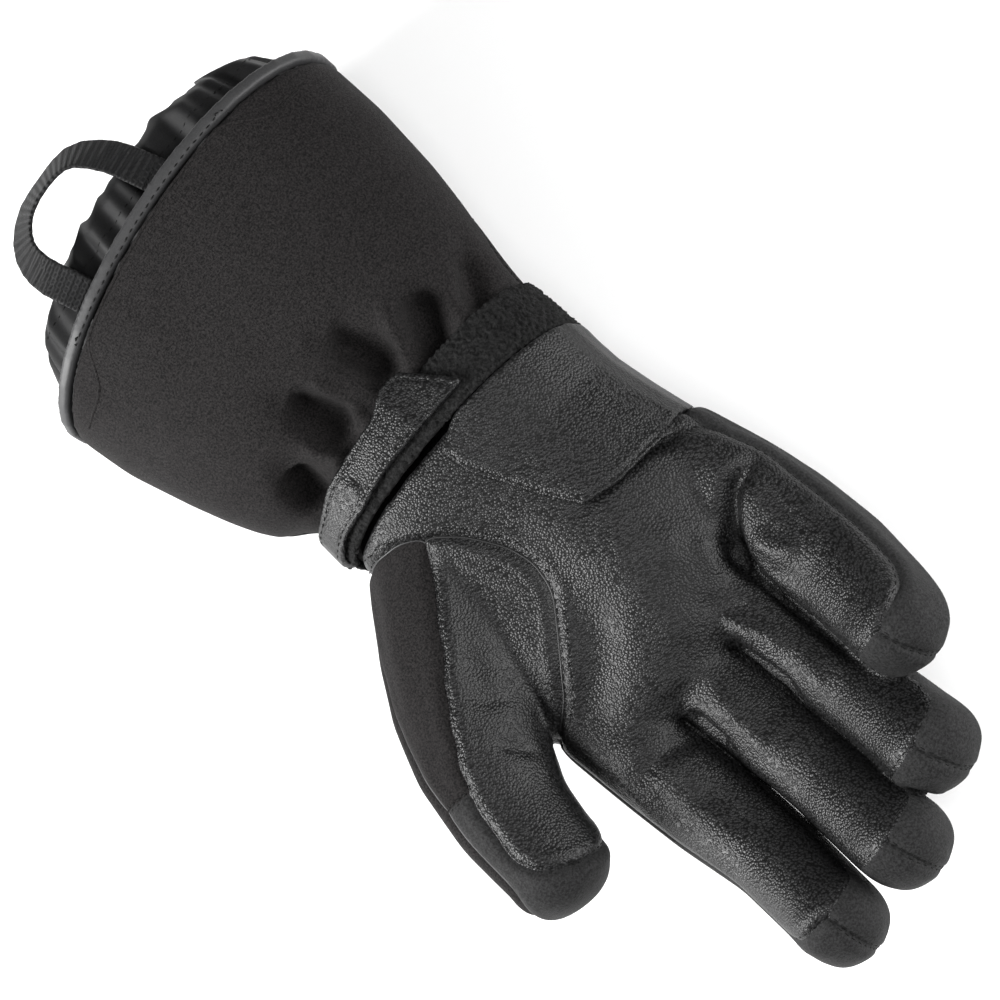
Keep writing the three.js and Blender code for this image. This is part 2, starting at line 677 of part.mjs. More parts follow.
// The limb as a closed form, grown or shrunk by a distance
const tipShares = [0.48, 0.8, 0.97];
function limbForm(limb, grow, count, steps) {
  const straight = limb.length - limb.tip;
  const distances = Array.from({ length: steps + 1 }, (_, i) => (straight * i) / steps);
  for (const share of tipShares) distances.push(straight + limb.tip * share);
  return loft(
    distances.map((distance) => {
      const shape = limbShape(limb, distance, grow);
      return Array.from({ length: count }, (_, i) => {
        const { x, z } = onLimb(shape, limb.power, ((i + 0.5) / count) * 2 * Math.PI);
        return inFrame(shape, x, z);
      });
    }),
  );
}

// One panel of a finger's wall. It runs between two seams, given as angles at each distance, and
// half the gap is left free at each.
function limbPanel(limb, distances, seams, outerCount, innerCount) {
  const row = (distance, grow, count) => {
    const shape = limbShape(limb, distance, grow);
    const [from, to] = seams(distance);
    const most = (to - from) / 3;
    const inset = (end) => Math.min(seamGap / 2 / onLimb(shape, limb.power, end).reach, most);
    return Array.from({ length: count }, (_, i) => {
      const angle = lerp(from + inset(from), to - inset(to), i / (count - 1));
      const { x, z } = onLimb(shape, limb.power, angle);
      return inFrame(shape, x, z);
    });
  };
  return loft(
    distances.map((distance) => [
      ...row(distance, 0, outerCount),
      ...row(distance, -handWall, innerCount).reverse(),
    ]),
  );
}

// Everything round a limb between two seams, as far as its end. Seams and middle are angles from
// its own up direction, and rounded is the stretch before the end where they close in an arc. Gap
// moves the seams and the end outwards.
const wedgeShares = [-0.15, 0.1, 0.25, 0.4, 0.5, 0.6, 0.7];
const wedgeTurns = [0, 25, 45, 60, 73, 84].map(degrees);
const sharpest = 0.3; // the sine below which a wedge's point no longer moves for the gap
const wedgeRays = [-1, -0.6, -0.2, 0.2, 0.6, 1];
function limbWedge(limb, { from, to, end, rounded }, gap) {
  const closes = end - rounded;
  const stations = wedgeShares
    .map((share) => ({ distance: share * limb.length, open: 1 }))
    .filter(({ distance }) => distance < closes);
  for (const turn of wedgeTurns)
    stations.push({ distance: closes + (rounded + gap) * Math.sin(turn), open: Math.cos(turn) });
  const beyond = limb.tip * 3;
  return loft(
    stations.map(({ distance, open }) => {
      const shape = limbShape(limb, distance, 0);
      const share = clamp(distance / limb.curve.getLength(), 0, 1);
      const spread = (degrees(to(share) - from(share)) / 2) * open;
      const middle = degrees(from(share) + to(share)) / 2;
      const back = gap / Math.max(Math.sin(spread), sharpest);
      const aim = (angle, reach) =>
        inFrame(
          shape,
          Math.sin(angle) * reach - Math.sin(middle) * back,
          Math.cos(angle) * reach - Math.cos(middle) * back,
        );
      const rays = wedgeRays.map((step) => middle + spread * step);
      return [aim(middle, 0), ...rays.map((angle) => aim(angle, beyond))];
    }),
  );
}

// Everything before a distance along a limb
function before(limb, distance) {
  const size = limb.length;
  const corners = [[-size, -size], [size, -size], [size, size], [-size, size]];
  const frame = frameOn(limb, distance);
  const end = corners.map(([x, z]) => inFrame(frame, x, z));
  const along = new THREE.Vector3().crossVectors(frame.upward, frame.side);
  return loft([end.map((p) => p.clone().addScaledVector(along, -size)), end]);
}

// The half-sizes of a limb at a share of its length
function limbSizes(sections, width, thick) {
  const read = follow(sections);
  return (share) => {
    const row = read(share);
    return {
      left: (row.left * width) / 2,
      right: (row.right * width) / 2,
      front: (row.front * thick) / 2,
      back: (row.back * thick) / 2,
    };
  };
}

// Fingers
function makeFinger(row) {
  const length = fingerLength * row.length;
  const steps = 8;
  const root = [row.across * palmWidth, row.along * palmLength, row.height * palmThick];
  const points = [new THREE.Vector3(...root)];
  for (let i = 0; i < steps; i++) {
    const share = (i + 0.5) / steps;
    const pitch = degrees(fingerCurl) * smoothstep(share, curl.from, curl.to);
    const lean = degrees(row.lean + row.turn * share);
    const flat = Math.cos(pitch);
    const direction = new THREE.Vector3(Math.sin(lean) * flat, Math.cos(lean) * flat, Math.sin(pitch));
    points.push(points.at(-1).clone().addScaledVector(direction, length / steps));
  }
  return {
    name: row.name,
    roll: row.roll,
    curve: new THREE.CatmullRomCurve3(points),
    length,
    halfSizes: limbSizes(row.sections, fingerWidth, fingerThick),
    power: fingerPower,
    tip: fingerThick / 2,
  };
}
const fingerLimbs = fingers.map(makeFinger);
const fingerForm = (limb, grow) => limbForm(limb, grow, 12, 4);

// Thumb
const thumbPoint = (row) =>
  new THREE.Vector3(row.across * palmWidth, row.along * thumbReach, row.height * palmThick);
const thumbCurve = new THREE.CatmullRomCurve3(thumbLine.map(thumbPoint));
const thumb = {
  roll: thumbRoll,
  curve: thumbCurve,
  length: thumbCurve.getLength() + (thumbTipPast * thumbThick) / 2,
  halfSizes: limbSizes(thumbSections, thumbWidth, thumbThick),
  power: thumbPower,
  tip: thumbThick / 2,
};
const thumbForm = (grow) => limbForm(thumb, grow, 14, 6);

// The hand's outer form, and the hollow inside it
const palmSides = 28;
const hollowSides = 18;
const palmOuter = palmForm(0, palmSides, seamGap);
const palmGrown = palmForm(seamGap, palmSides, 0);
const palmHollow = palmForm(-handWall, hollowSides, -gauntletLength * 0.1);
const hollow = unite([
  palmHollow,
  limbForm(thumb, -handWall, 8, 4),
  ...fingerLimbs.map((limb) => limbForm(limb, -handWall, 8, 3)),
]);
const seamHeight = sideSeamHeight * palmThick;
const palmFront = palmOuter.intersect(above(seamHeight + seamGap / 2));
const palmBack = palmOuter.intersect(below(seamHeight - seamGap / 2));
const palmNotFront = palmGrown.intersect(below(seamHeight + seamGap / 2));
const palmNotBack = palmGrown.intersect(above(seamHeight - seamGap / 2));

// The space on the thumb side of the seams that the thumb is set in along. It leaves the index
// finger free.
function thumbSpace(gap) {
  const past = [
    [besideIndex[0] * palmWidth, besideIndex[1] * palmLength],
    [besideIndex[0] * palmWidth, far],
    [far, far],
    [far, -far],
    [besideIndex[0] * palmWidth, -far],
  ];
  const front = widen([...scaled(thumbSeam, palmWidth, palmLength), ...past], gap);
  const back = widen([...scaled(thumbBackSeam, palmWidth, palmLength), ...past], gap);
  return prism(front, seamHeight - gap, far).add(prism(back, -far, seamHeight));
}

// Finger panels: a palm side and a back that are cut in one with the hand's, and two strips
// between them that meet at the tip. Plain, arc and past are the stations before, in and after
// the arc that the palm side ends in.
const leastOpen = 0.05; // how far the panels' ends still are open, as a share
const plainShares = [0, 0.3, 0.5, 0.75];
const arcTurns = [0, 34, 58, 76].map(degrees);
const pastShares = [0.5, 0.85, 1];
const fingerFronts = [];
const fingerBacks = [];
const strips = [];
fingerLimbs.forEach((limb, i) => {
  const neighbour = i ? (gap) => fingerForm(fingerLimbs[i - 1], gap) : thumbForm;
  const beside = neighbour(besideGap);
  const straight = limb.length - limb.tip;
  const frontEnd = straight + limb.tip * (1 - leatherEnds);
  const backEnd = straight + limb.tip * (1 - backEnds);
  const closing = (end, stretch) => (distance) => {
    const near = clamp((distance - end) / stretch + 1, 0, 1);
    return Math.sqrt(1 - near * near);
  };
  const rounded = limb.tip * leatherRound;
  const frontOpen = closing(frontEnd, rounded);
  const backOpen = closing(backEnd, limb.tip * backRound);
  const arcFrom = frontEnd - rounded;
  const plain = plainShares.map((share) => arcFrom * share);
  const arc = arcTurns.map((turn) => arcFrom + rounded * Math.sin(turn));
  const past = pastShares.map((share) => lerp(backEnd, limb.length, share));
  const frontSeams = (distance) => {
    const spread = degrees(leatherSeam) * Math.max(frontOpen(distance), leastOpen);
    return [-spread, spread];
  };
  const backSeams = (distance) => {
    const spread = degrees(backSeam) * Math.max(backOpen(distance), leastOpen);
    return [Math.PI - spread, Math.PI + spread];
  };
  const frontRows = [...plain, ...arc, frontEnd];
  const backRows = [...plain, ...arc.filter((_, k) => k % 2 === 0), frontEnd, backEnd];
  const front = limbPanel(limb, frontRows, frontSeams, 6, 3);
  const back = limbPanel(limb, backRows, backSeams, 5, 3);
  fingerFronts.push(cut(front, beside, palmNotFront, palmHollow));
  fingerBacks.push(cut(back, beside, palmNotBack, palmHollow));
  const stripRows = [...plain, ...arc, frontEnd, backEnd, ...past];
  const edges = (distance) => {
    const frontEdge = distance > frontEnd ? 0 : frontSeams(distance)[1];
    const backEdge = distance > backEnd ? Math.PI : backSeams(distance)[0];
    return [frontEdge, backEdge];
  };
  const mirrored = (distance) => edges(distance).map((angle) => -angle).reverse();
  for (const [way, seams] of Object.entries({ thumbward: edges, outward: mirrored })) {
    const strip = limbPanel(limb, stripRows, seams, 4, 2);
    const made = mainBody(cut(strip, beside, palmGrown, floor));
    strips.push({ name: `${limb.name}_strip_${way}`, made });
  }
});

const thumbSide = thumbSpace(seamGap);
const palmLeather = mainBody(cut(unite([cut(palmFront, hollow), ...fingerFronts]), thumbSide, floor));
const backShell = mainBody(cut(unite([cut(palmBack, hollow), ...fingerBacks]), thumbSide, floor));

// Thumb panels
const thumbBody = cut(
  unite([thumbForm(0), palmOuter]).intersect(thumbSpace(0)),
  hollow,
  floor,
  fingerForm(fingerLimbs[0], seamGap),
);
const always = (angle) => () => angle;
const readSeams = follow(thumbLine);
const innerSeam = (share) => readSeams(share).inner;
const outerSeam = (share) => readSeams(share).outer;
const leatherPanel = {
  from: always(thumbFarSeam),
  to: innerSeam,
  end: thumb.length - thumb.tip * leatherEnds,
  rounded: thumb.tip * leatherRound,
};
const backPanel = {
  from: outerSeam,
  to: always(thumbFarSeam + 360),
  end: thumb.length - thumb.tip * backEnds,
  rounded: thumb.tip * backRound,
};
const thumbLeather = mainBody(thumbBody.intersect(limbWedge(thumb, leatherPanel, -seamGap / 2)));
const notLeather = cut(thumbBody, limbWedge(thumb, leatherPanel, seamGap / 2));
const thumbBack = mainBody(notLeather.intersect(limbWedge(thumb, backPanel, -seamGap / 2)));
const thumbSideBand = cut(notLeather, limbWedge(thumb, backPanel, seamGap / 2));
const crossSeam = thumb.length * thumbTipFrom;
const thumbStrip = mainBody(thumbSideBand.intersect(before(thumb, crossSeam - seamGap / 2)));
const thumbTip = mainBody(cut(thumbSideBand, before(thumb, crossSeam + seamGap / 2)));

// Heel patch: a raised shell over the palm leather, inside its outline
const heelOuter = palmForm(seamGap + heelPadThick, palmSides, 0);
const heelLowest = seamHeight + 3 * seamGap;
const heelSpace = prism(scaled(heelOutline, palmWidth, palmLength), heelLowest, far);
const littleGrown = fingerForm(fingerLimbs.at(-1), besideGap);
const heelPatch = mainBody(cut(heelOuter.intersect(heelSpace), palmGrown, littleGrown));

// The glove. Its origin lies under the middle of its box.
const group = new THREE.Group();
function add(name, made, color, roughness) {
  const mesh = made.getMesh();
  const geometry = new THREE.BufferGeometry();
  geometry.setAttribute("position", new THREE.BufferAttribute(mesh.vertProperties, mesh.numProp));
  geometry.setIndex(new THREE.BufferAttribute(mesh.triVerts, 1));
  const finish = new THREE.MeshStandardMaterial({ color, roughness, metalness: 0 });
  const part = new THREE.Mesh(geometry, finish);
  part.name = name;
  group.add(part);
}

const leather = [0x303031, 0.5];
const softshell = [0x252425, 0.9];
const nubuck = [0x2a2a2a, 0.8];
add("gauntlet_front", gauntletFront, ...softshell);
add("gauntlet_back", gauntletBack, ...softshell);
add("edge_binding", edgeBinding, 0x4a4a4c, 0.7);
add("inner_cuff", innerCuff, 0x161617, 0.5);
add("pull_loop", pullLoop, 0x1c1c1e, 0.7);
add("wrist_tape", wristTape, 0x0f0f10, 1);
add("strap_tab", strapTab, ...leather);
add("palm_leather", palmLeather, ...leather);
add("heel_patch", heelPatch, ...leather);
add("back_shell", backShell, ...softshell);
for (const strip of strips) add(strip.name, strip.made, ...nubuck);
add("thumb_leather", thumbLeather, ...leather);
add("thumb_strip", thumbStrip, ...softshell);
add("thumb_back", thumbBack, ...softshell);
add("thumb_tip", thumbTip, ...nubuck);

const box = new THREE.Box3().setFromObject(group);
const middle = box.getCenter(new THREE.Vector3());
group.position.set(-middle.x, -middle.y, -box.min.z);

export default group;
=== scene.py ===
"""The looks of a right-hand heated gauntlet glove that lies on its back, palm up.

+Z is up out of the palm, +Y runs to the fingertips and +X to the thumb. Everything is in metres.
"""
import math
import bmesh
import bpy
import numpy as np
from mathutils import Matrix, Vector, noise
from mathutils.bvhtree import BVHTree
from mathutils.kdtree import KDTree


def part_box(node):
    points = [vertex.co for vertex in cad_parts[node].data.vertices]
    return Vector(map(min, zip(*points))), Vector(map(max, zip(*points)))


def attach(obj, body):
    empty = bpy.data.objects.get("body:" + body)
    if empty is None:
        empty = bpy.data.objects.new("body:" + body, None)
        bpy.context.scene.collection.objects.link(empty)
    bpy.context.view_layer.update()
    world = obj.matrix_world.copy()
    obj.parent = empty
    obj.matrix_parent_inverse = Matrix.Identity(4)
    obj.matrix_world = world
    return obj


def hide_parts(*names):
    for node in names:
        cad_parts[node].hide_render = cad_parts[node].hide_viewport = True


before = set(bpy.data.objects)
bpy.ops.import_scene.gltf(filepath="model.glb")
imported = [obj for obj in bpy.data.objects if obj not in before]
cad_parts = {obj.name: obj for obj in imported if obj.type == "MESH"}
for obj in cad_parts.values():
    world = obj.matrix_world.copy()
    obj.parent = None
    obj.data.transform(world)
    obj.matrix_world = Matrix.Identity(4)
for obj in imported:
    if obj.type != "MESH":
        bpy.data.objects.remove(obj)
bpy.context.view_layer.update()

# Camera and light. The photograph looks down on the palm, a little from the fingertips and from
# the little finger, through a long lens. Two lamps rake over the glove from its two sides and a
# weaker one hangs above it, over a pale floor.
MM = 0.001
SHIFT = Vector((-14.17, -19.56, 0)) * MM  # to the middle of the wrist seam


def place(x, y, z=0.0):
    """A point given in millimetres from the middle of the wrist seam."""
    return Vector((x, y, z)) * MM + SHIFT


PIXELS_PER_MM = 3.1
DISTANCE_MM = 1300
LEAN_TO_FINGERTIPS, LEAN_TO_LITTLE_FINGER, ROLL = 14, 8, 37.5
camera = bpy.data.objects.new("camera", bpy.data.cameras.new("camera"))
bpy.context.collection.objects.link(camera)
bpy.context.scene.camera = camera
view = Vector(
    (-math.sin(math.radians(LEAN_TO_LITTLE_FINGER)), math.sin(math.radians(LEAN_TO_FINGERTIPS)), 0)
)
view.z = math.sqrt(1 - view.length_squared)
ahead = Vector((0, 1, 0))
ahead = (ahead - view * ahead.dot(view)).normalized()
across = ahead.cross(view)
roll = math.radians(ROLL)
right = math.cos(roll) * ahead - math.sin(roll) * across
down = right.cross(view)
eye = place(6, 18, 32) + view * (DISTANCE_MM * MM)
camera.data.sensor_fit = "HORIZONTAL"
camera.data.sensor_width = 36
camera.data.lens = camera.data.sensor_width * PIXELS_PER_MM * DISTANCE_MM / 1000
camera.matrix_world = Matrix.Translation(eye) @ Matrix([right, -down, view]).transposed().to_4x4()


def area_light(name, spot, size, power):
    """A round lamp that faces the middle of the glove."""
    aim = (0, 0, 0.03)
    lamp = bpy.data.lights.new(name, "AREA")
    lamp.shape = "DISK"
    lamp.size = size
    lamp.energy = power
    light = bpy.data.objects.new(name, lamp)
    light.location = spot
    light.rotation_euler = (Vector(aim) - Vector(spot)).to_track_quat("-Z", "Y").to_euler()
    bpy.context.collection.objects.link(light)


area_light("key", (0.95, -0.4, 0.65), 0.6, 40)
area_light("top", (-0.4, 0.6, 1.3), 1.4, 12)
area_light("far", (-1.0, 0.7, 0.5), 1.1, 26)
world = bpy.data.worlds.new("studio")
bpy.context.scene.world = world
world.use_nodes = True
world.node_tree.nodes["Background"].inputs["Color"].default_value = (1, 1, 1, 1)
world.node_tree.nodes["Background"].inputs["Strength"].default_value = 0.2
bpy.context.scene.view_settings.view_transform = "Standard"

bpy.ops.mesh.primitive_plane_add(size=6)
floor = bpy.context.object
floor.name = "floor"
pale = bpy.data.materials.new("pale_floor")
pale.use_nodes = True
pale.node_tree.nodes["Principled BSDF"].inputs["Base Color"].default_value = (0.93, 0.93, 0.93, 1)
pale.node_tree.nodes["Principled BSDF"].inputs["Roughness"].default_value = 0.9
floor.data.materials.append(pale)

# Hand. Pebbled leather on the palm and the fingers' fronts, softshell on the back, nubuck down
# the fingers' sides and a set-in thumb, padded and sewn edge to edge. The hand is modelled as one
# skin, creased as a worn glove is, and then cut apart along its seams.
hand_panels = {
    "palm_leather": "leather", "thumb_leather": "leather", "back_shell": "softshell",
    "thumb_strip": "softshell", "thumb_back": "softshell", "thumb_tip": "nubuck",
}
for finger in ("index", "middle", "ring", "little"):
    hand_panels[f"{finger}_strip_thumbward"] = "nubuck"
    hand_panels[f"{finger}_strip_outward"] = "nubuck"
hand_nodes = list(hand_panels)


def read_mesh(mesh):
    points = np.zeros(len(mesh.vertices) * 3)
    mesh.vertices.foreach_get("co", points)
    edges = np.zeros(len(mesh.edges) * 2, int)
    mesh.edges.foreach_get("vertices", edges)
    return points.reshape(-1, 3), edges.reshape(-1, 2)


def write_points(mesh, points):
    mesh.vertices.foreach_set("co", np.asarray(points, np.float32).ravel())
    mesh.update()


def normals_of(mesh):
    found = np.zeros(len(mesh.vertices) * 3)
    mesh.vertices.foreach_get("normal", found)
    return found.reshape(-1, 3)


def smoothed(values, edges, rounds):
    """Moves values towards the mean of their neighbours."""
    count = len(values)
    a, b = np.concatenate([edges[:, 0], edges[:, 1]]), np.concatenate([edges[:, 1], edges[:, 0]])
    near = np.maximum(np.bincount(a, minlength=count), 1)[:, None]
    for _ in range(rounds):
        mean = np.stack([np.bincount(a, column[b], count) for column in values.T], 1) / near
        values = (values + mean) / 2
    return values


def merged_solids(nodes, grow=0.0):
    """One mesh of several CAD solids, each corner there only once, and grown by a distance."""
    work = bmesh.new()
    for node in nodes:
        work.from_mesh(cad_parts[node].data)
    bmesh.ops.remove_doubles(work, verts=work.verts, dist=1e-6)
    if grow:
        work.normal_update()
        for vert in work.verts:
            vert.co += vert.normal * grow
    return work


def skin_round(name, nodes, grid, rounds, grow=0.0, puff=0.0):
    """One smooth mesh round the CAD solids: remeshed, evened out and pushed outwards again."""
    work = merged_solids(nodes, grow)
    mesh = bpy.data.meshes.new(name)
    work.to_mesh(mesh)
    work.free()
    piece = bpy.data.objects.new(name, mesh)
    bpy.context.collection.objects.link(piece)
    remesh = piece.modifiers.new("remesh", "REMESH")
    remesh.mode = "VOXEL"
    remesh.voxel_size = grid
    graph = bpy.context.evaluated_depsgraph_get()
    made = bpy.data.meshes.new_from_object(piece.evaluated_get(graph))
    bpy.data.objects.remove(piece)
    made.name = name
    points, edges = read_mesh(made)
    write_points(made, smoothed(points, edges, rounds))
    points, edges = read_mesh(made)
    write_points(made, points + normals_of(made) * puff)
    return made


def tree_of(mesh):
    """A search tree of a mesh's faces."""
    points, _ = read_mesh(mesh)
    return BVHTree.FromPolygons(points.tolist(), [face.vertices[:] for face in mesh.polygons])


def kd_tree(points):
    tree = KDTree(len(points))
    for i, point in enumerate(points):
        tree.insert(point, i)
    tree.balance()
    return tree


def sight(px, py):
    """The direction in which the camera sees a point of the photograph."""
    off_axis = ((px - 500) * right + (py - 500) * down) / (PIXELS_PER_MM * DISTANCE_MM)
    return (off_axis - view).normalized()


def seen(px, py, tree):
    """The point of a skin that the camera sees at a pixel of the photograph."""
    return tree.ray_cast(eye, sight(px, py))[0]


def below(x, y, tree):
    """The point of a skin under a plan point, given in millimetres from the wrist seam's middle."""
    return tree.ray_cast(place(x, y, 200), Vector((0, 0, -1)))[0]


DENSE_STEPS = 12


def even_path(points, step):
    """The same path with points at even steps, on a smooth curve through the given ones."""
    points = [Vector(point) for point in points if point is not None]
    dense = []
    for i in range(len(points) - 1):
        before, start = points[max(i - 1, 0)], points[i]
        end, after = points[i + 1], points[min(i + 2, len(points) - 1)]
        for k in range(DENSE_STEPS):
            t = k / DENSE_STEPS
            dense.append(
                0.5 * (
                    2 * start
                    + (end - before) * t
                    + (2 * before - 5 * start + 4 * end - after) * t * t
                    + (3 * start - 3 * end + after - before) * t ** 3
                )
            )
    dense.append(points[-1])
    lengths = np.concatenate([[0], np.cumsum([(b - a).length for a, b in zip(dense, dense[1:])])])
    count = max(int(round(lengths[-1] / step)), 1) + 1
    spots = np.linspace(0, lengths[-1], count)
    cells = np.array([point[:] for point in dense])
    return np.stack([np.interp(spots, lengths, cells[:, i]) for i in range(3)], 1)


def drawn(pixels, tree, step=1 * MM):
    """A path over a skin through points of the photograph."""
    return even_path([seen(*pixel, tree) for pixel in pixels], step)


def pressed(points, normals, path, width, height, taper=0.3):
    """Raises, or sinks where height is negative, both faces of a wall near a path on its outside."""
    low, high = path.min(0) - 3 * width, path.max(0) + 3 * width
    rows = np.nonzero(np.all((points > low) & (points < high), axis=1))[0]
    tree = kd_tree(path)
    ends = len(path) - 1
    nearest = [tree.find(points[row]) for row in rows]
    outside = {}
    for row, (_, index, away) in zip(rows, nearest):
        if away < outside.get(index, (1, 0))[0]:
            outside[index] = (away, row)
    outwards = np.mean([normals[row] for _, row in outside.values()], axis=0)
    for row, (_, index, away) in zip(rows, nearest):
        if away < 3 * width:
            share = index / ends
            fade = min(1, 0.25 + share / taper, 0.25 + (1 - share) / taper) if taper else 1
            way = np.sign(normals[row] @ outwards)
            points[row] += normals[row] * (way * height * fade * math.exp(-((away / width) ** 2)))


def distances_to(nodes, points, far=8 * MM):
    """How far each point lies from each of the CAD solids, up to a limit."""
    found = np.full((len(points), len(nodes)), far)
    for column, node in enumerate(nodes):
        work = merged_solids([node])
        tree = BVHTree.FromBMesh(work)
        work.free()
        low, high = (np.array(corner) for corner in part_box(node))
        inside = np.all((points > low - far / 2) & (points < high + far / 2), axis=1)
        for row in np.nonzero(inside)[0]:
            found[row, column] = min(tree.find_nearest(points[row])[3], far)
    return found


def cut_at_seams(mesh, fields):
    """Cuts a skin where the nearest panel changes. Gives the cut mesh, each face's panel, and the
    edges of the seams, listed by the two panels that meet there."""
    work = bmesh.new()
    work.from_mesh(mesh)
    work.verts.ensure_lookup_table()
    panel = work.verts.layers.int.new("panel")
    labels = fields.argmin(1)
    for vert, label in zip(work.verts, labels):
        vert[panel] = int(label)
    shares = {}
    for edge in work.edges:
        a, b = (vert.index for vert in edge.verts)
        if labels[a] != labels[b]:
            near = fields[a, labels[a]] - fields[a, labels[b]]
            past = fields[b, labels[a]] - fields[b, labels[b]]
            shares[edge] = min(max(near / (near - past), 0.12), 0.88)
    made = bmesh.ops.bisect_edges(work, edges=list(shares), cuts=1, edge_percents=shares)
    fresh = [item for item in made["geom_split"] if isinstance(item, bmesh.types.BMVert)]
    for vert in fresh:
        vert[panel] = -1
    bmesh.ops.connect_verts(work, verts=fresh)
    face_panel = []
    for face in work.faces:
        found = [vert[panel] for vert in face.verts if vert[panel] >= 0]
        face_panel.append(max(set(found), key=found.count) if found else 0)
    work.faces.index_update()
    work.verts.index_update()
    seams = {}
    for edge in work.edges:
        touching = {face_panel[face.index] for face in edge.link_faces}
        if len(touching) == 2:
            ends = tuple(vert.index for vert in edge.verts)
            seams.setdefault(tuple(sorted(touching)), []).append(ends)
    cut = bpy.data.meshes.new(mesh.name + "_cut")
    work.to_mesh(cut)
    work.free()
    return cut, np.array(face_panel), seams


def chained(pairs):
    """Joins edges, given by their ends, into chains of points."""
    near = {}
    for a, b in pairs:
        near.setdefault(a, []).append(b)
        near.setdefault(b, []).append(a)
    found, used = [], set()
    starts = sorted(near, key=lambda point: len(near[point]) != 1)
    for start in starts:
        if start in used:
            continue
        chain = [start]
        used.add(start)
        while True:
            onward = [point for point in near[chain[-1]] if point not in used]
            if not onward:
                break
            chain.append(onward[0])
            used.add(onward[0])
        if len(chain) > 1 and chain[0] in near[chain[-1]] and len(chain) > 4:
            chain.append(chain[0])
        found.append(chain)
    return found


OUTWARD = [Vector(way) for way in ((1, 0, 0), (-1, 0, 0), (0, 1, 0), (0, 0, 1), (0, 0, -1))]


def is_outside(point, normal, tree):
    """Whether a point of a hollow skin lies on its outer face."""
    start = Vector(point) + Vector(normal) * 0.5 * MM
    return any(tree.ray_cast(start, way)[0] is None for way in OUTWARD)


hand = skin_round("hand", hand_nodes, grid=0.85 * MM, rounds=55, puff=0.6 * MM)

# Creases as the photograph shows them: pixels, width and height, in millimetres
HAND_CREASES = [
    ([(752, 464), (741, 474), (732, 490), (729, 510), (731, 532), (740, 555), (757, 575)], 3.0, -5.4),
    ([(757, 577), (784, 600), (822, 631), (860, 664)], 1.8, -2.6),
    ([(726, 640), (745, 655), (775, 676), (800, 697)], 3.2, -2.8),
    ([(688, 712), (706, 728), (730, 748)], 3.2, -2.6),
    ([(580, 508), (605, 481), (640, 450), (665, 437), (700, 424), (728, 426)], 3.4, -2.2),
    ([(638, 785), (652, 765), (672, 748), (700, 738)], 3.5, -1.4),
    ([(592, 600), (600, 650), (598, 700), (582, 745)], 7.0, -1.6),
    ([(495, 742), (520, 748), (540, 752)], 2.4, -1.0),
    ([(690, 790), (720, 800), (750, 830)], 4.5, -1.2),
    ([(698, 535), (708, 556), (722, 576)], 3.0, 0.8),
    ([(752, 530), (770, 548), (800, 552)], 4.0, 1.8),
    ([(770, 572), (785, 576), (800, 578)], 2.2, -0.5),
    ([(722, 612), (742, 628), (766, 636), (790, 652)], 3.2, 1.4),
    ([(800, 655), (812, 672), (824, 690)], 3.2, 0.8),
    ([(715, 695), (735, 718), (757, 740), (775, 752)], 3.2, 1.0),
    ([(760, 480), (780, 505), (800, 525)], 3.0, -0.7),
    ([(700, 602), (730, 608), (752, 600)], 3.2, -0.8),
    ([(650, 712), (690, 695), (712, 690)], 4.0, -0.8),
    ([(600, 560), (640, 545), (690, 548)], 9.0, 0.9),
    ([(610, 640), (650, 620), (700, 640)], 9.0, 0.9),
    ([(470, 640), (480, 680), (500, 715)], 5.0, -0.8),
    ([(455, 690), (490, 700), (530, 690)], 2.6, -0.5),
    ([(455, 655), (480, 668), (510, 664)], 2.6, -0.4),
    ([(620, 775), (640, 800), (652, 815)], 3.0, 0.8),
    ([(655, 790), (672, 812), (690, 826)], 3.0, -0.8),
    ([(470, 580), (500, 590), (525, 610)], 3.0, -0.4),
]
DEEP_CREASE = -2.5 * MM


def strokes(table, tree):
    """The paths, widths and heights of creases that are given in pixels and millimetres."""
    return [(drawn(pixels, tree), width * MM, height * MM) for pixels, width, height in table]


skin_tree = tree_of(hand)
paths = strokes(HAND_CREASES, skin_tree)
hidden = kd_tree(np.concatenate([path for path, _, height in paths if height <= DEEP_CREASE]))

# The palm's leather reaches down into the deep creases, so that its seams lie hidden in them
LEATHER_REACH = 4.5 * MM
REACH_WIDTH = 8 * MM
points, edges = read_mesh(hand)
fields = smoothed(distances_to(hand_nodes, points), edges, 36)
reach = np.array([math.exp(-((hidden.find(point)[2] / REACH_WIDTH) ** 2)) for point in points])
fields[:, hand_nodes.index("palm_leather")] -= reach * LEATHER_REACH
hand, face_panel, seams = cut_at_seams(hand, fields)
points, edges = read_mesh(hand)
normals = normals_of(hand)
for path, width, height in paths:
    pressed(points, normals, path, width, height)

# The seams pull the padding down, and it swells beside them. The seams between the fingers don't.
SEAM_DEPTH, SEAM_WIDTH = 1.0, 1.2 * MM
SWELL, SWELL_AWAY, SWELL_WIDTH = 0.4, 4 * MM, 2.2 * MM
CALM_WIDTH = 6 * MM
outer_seams = {}
for pair, ends in seams.items():
    names = tuple(hand_nodes[i] for i in pair)
    for chain in chained(ends):
        if len(chain) >= 8:
            middle = chain[len(chain) // 2]
            if is_outside(points[middle], normals[middle], skin_tree):
                outer_seams.setdefault(names, []).append(chain)
between = {
    "little_strip_thumbward", "ring_strip_outward", "ring_strip_thumbward", "middle_strip_outward",
    "middle_strip_thumbward", "index_strip_outward",
}
pulled = [
    points[chain] for names, chains in outer_seams.items() for chain in chains
    if not ("palm_leather" in names and between & set(names))
]
sewn = kd_tree(np.concatenate(pulled))
away = np.array([sewn.find(point)[2] for point in points])
dip = SEAM_DEPTH * np.exp(-((away / SEAM_WIDTH) ** 2))
dip -= SWELL * np.exp(-(((away - SWELL_AWAY) / SWELL_WIDTH) ** 2))
calm = np.array([1 - math.exp(-((hidden.find(point)[2] / CALM_WIDTH) ** 2)) for point in points])
